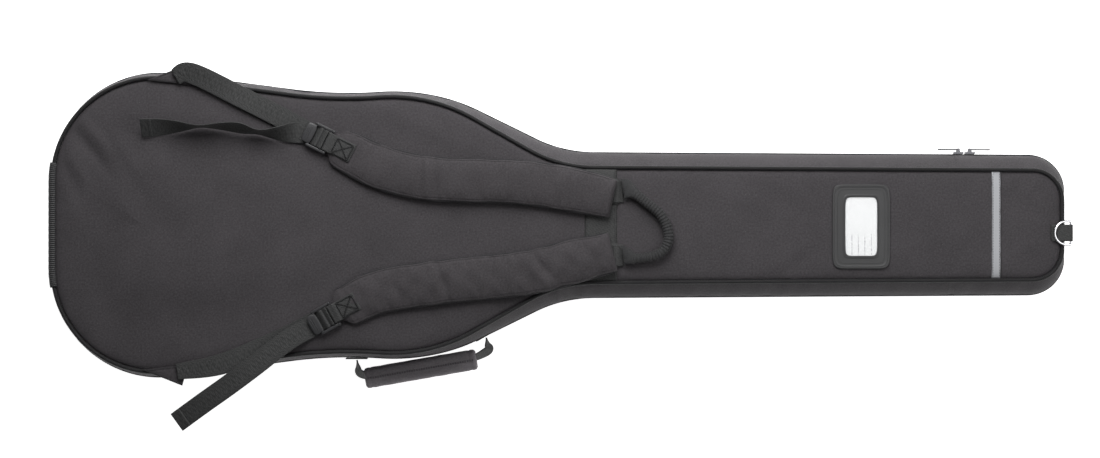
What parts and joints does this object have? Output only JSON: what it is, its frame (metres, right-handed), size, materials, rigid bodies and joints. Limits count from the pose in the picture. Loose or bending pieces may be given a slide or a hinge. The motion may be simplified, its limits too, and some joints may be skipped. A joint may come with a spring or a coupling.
{
  "type": "padded gig bag",
  "caption": "Padded electric bass gig bag that unzips along its sides, with padded shoulder straps, carry handle, haul loop, card holder and flat front pockets.",
  "frame": {"origin": "on the flat rest face of the front pockets, below the widest section of the lower bout", "axes": "+X from the tail to the head of the bag, +Y to the side that carries the main zip sliders, +Z out of the back panel"},
  "size_m": [1.2274, 0.4404, 0.1253],
  "materials": {
    "cloth": "matt woven nylon, fine plain weave",
    "strap_cloth": "matt woven nylon over soft padding",
    "foam": "closed-cell padding foam",
    "lining": "brushed soft lining",
    "webbing": "twill-woven strap webbing",
    "piping": "smooth satin cord in cloth tape",
    "zip_tape": "nylon zip tape and coil",
    "guard": "ribbed satin rubber",
    "reflector": "grey retroreflective tape",
    "holder": "coated binding cloth",
    "window": "clear flexible sheet",
    "card": "white paper card",
    "chrome": "polished nickel plating",
    "buckle": "moulded acetal",
    "slider_metal": "black enamelled zinc",
    "pull": "moulded soft plastic"
  },
  "bodies": {
    "front_half": {"front_cover": "cloth", "front_foam": "foam", "front_lining": "lining", "front_piping": "piping", "front_side_cover": "cloth", "front_body_side_foam": "foam", "front_neck_side_foam": "foam", "front_zipper": "zip_tape", "front_tail_guard": "guard", "tail_hinge": "guard", "neck_cradle": "lining", "neck_strap": "webbing", "handle_anchors": "webbing", "body_pocket_panel": "cloth", "body_pocket_band": "cloth", "body_pocket_zipper": "zip_tape", "neck_pocket_panel": "cloth", "neck_pocket_band": "cloth", "neck_pocket_zipper": "zip_tape"},
    "back_half": {"back_cover": "cloth", "back_foam": "foam", "back_lining": "lining", "back_piping": "piping", "back_side_cover": "cloth", "back_body_side_foam": "foam", "back_neck_side_foam": "foam", "back_zipper": "zip_tape", "back_tail_guard": "guard", "neck_band": "webbing", "reflective_strip": "reflector", "id_frame": "holder", "id_window": "window", "d_ring_tab": "holder", "haul_loop_anchors": "webbing", "right_strap_anchor": "cloth", "left_strap_anchor": "cloth", "right_webbing": "webbing", "left_webbing": "webbing"},
    "id_card": {"id_card": "card"},
    "d_ring": {"d_ring": "chrome"},
    "haul_loop": {"haul_loop": "webbing"},
    "right_strap": {"right_strap_pad": "strap_cloth", "right_strap_patch": "webbing", "right_webbing_tail": "webbing"},
    "right_buckle": {"right_buckle": "buckle"},
    "left_strap": {"left_strap_pad": "strap_cloth", "left_strap_patch": "webbing", "left_webbing_tail": "webbing"},
    "left_buckle": {"left_buckle": "buckle"},
    "carry_handle": {"handle_webbing": "webbing", "handle_grip": "strap_cloth"},
    "main_slider_a": {"main_slider_a": "slider_metal"},
    "main_pull_a": {"main_pull_a": "pull"},
    "main_slider_b": {"main_slider_b": "slider_metal"},
    "main_pull_b": {"main_pull_b": "pull"},
    "body_pocket_slider": {"body_pocket_slider": "slider_metal"},
    "body_pocket_pull": {"body_pocket_pull": "pull"},
    "neck_pocket_slider": {"neck_pocket_slider": "slider_metal"},
    "neck_pocket_pull": {"neck_pocket_pull": "pull"}
  },
  "joints": [
    {"name": "bag_opening", "type": "hinge", "parent": "front_half", "child": "back_half", "pos_m": [-0.1327, 0, 0.054], "axis": [0, -1, 0], "range_deg": [0, 105], "deforming": ["tail_hinge"]},
    {"name": "id_card_slide", "type": "slide", "parent": "back_half", "child": "id_card", "axis": [0, -1, 0], "range_m": [0, 0.075]},
    {"name": "d_ring_swing", "type": "hinge", "parent": "back_half", "child": "d_ring", "pos_m": [1.0931, -0.0095, 0.09918], "axis": [0, 1, 0], "range_deg": [0, 180]},
    {"name": "haul_loop_swing", "type": "hinge", "parent": "back_half", "child": "haul_loop", "pos_m": [0.5584, 0, 0.0985], "axis": [0, -1, 0], "range_deg": [0, 60]},
    {"name": "right_strap_lift", "type": "hinge", "parent": "back_half", "child": "right_strap", "pos_m": [0.5515, 0.031, 0.1035], "axis": [0, 1, 0], "range_deg": [0, 12], "deforming": ["right_webbing"]},
    {"name": "right_buckle_tilt", "type": "hinge", "parent": "right_strap", "child": "right_buckle", "pos_m": [0.20552, 0.09946, 0.1025], "axis": [0.4472, 0.8944, 0], "range_deg": [0, 30]},
    {"name": "left_strap_lift", "type": "hinge", "parent": "back_half", "child": "left_strap", "pos_m": [0.5515, -0.032, 0.1035], "axis": [0, 1, 0], "range_deg": [0, 12], "deforming": ["left_webbing"]},
    {"name": "left_buckle_tilt", "type": "hinge", "parent": "left_strap", "child": "left_buckle", "pos_m": [0.21164, -0.1067, 0.1025], "axis": [-0.4903, 0.8716, 0], "range_deg": [0, 30]},
    {"name": "carry_handle_swing", "type": "hinge", "parent": "front_half", "child": "carry_handle", "pos_m": [0.23628, -0.163, 0.039], "axis": [-0.9852, -0.1716, 0], "range_deg": [-22, 12]},
    {"name": "main_slider_a_slide", "type": "slide", "parent": "front_half", "child": "main_slider_a", "axis": [-1, 0.0061, 0], "range_m": [0, 0.42]},
    {"name": "main_pull_a_swing", "type": "hinge", "parent": "main_slider_a", "child": "main_pull_a", "pos_m": [0.96515, 0.09081, 0.054], "axis": [0, 0, -1], "range_deg": [0, 160]},
    {"name": "main_slider_b_slide", "type": "slide", "parent": "front_half", "child": "main_slider_b", "axis": [1, -0.0061, 0], "range_m": [0, 0.03]},
    {"name": "main_pull_b_swing", "type": "hinge", "parent": "main_slider_b", "child": "main_pull_b", "pos_m": [0.97915, 0.09072, 0.054], "axis": [0, 0, 1], "range_deg": [0, 160]},
    {"name": "body_pocket_slider_slide", "type": "slide", "parent": "front_half", "child": "body_pocket_slider", "axis": [1, 0, 0], "range_m": [0, 0.28]},
    {"name": "body_pocket_pull_swing", "type": "hinge", "parent": "body_pocket_slider", "child": "body_pocket_pull", "pos_m": [-0.038, 0.1369, 0.0077], "axis": [0, 0, -1], "range_deg": [0, 160]},
    {"name": "neck_pocket_slider_slide", "type": "slide", "parent": "front_half", "child": "neck_pocket_slider", "axis": [1, 0, 0], "range_m": [0, 0.34]},
    {"name": "neck_pocket_pull_swing", "type": "hinge", "parent": "neck_pocket_slider", "child": "neck_pocket_pull", "pos_m": [0.59344, 0.0589, 0.0077], "axis": [0, 0, -1], "range_deg": [0, 160]}
  ]
}
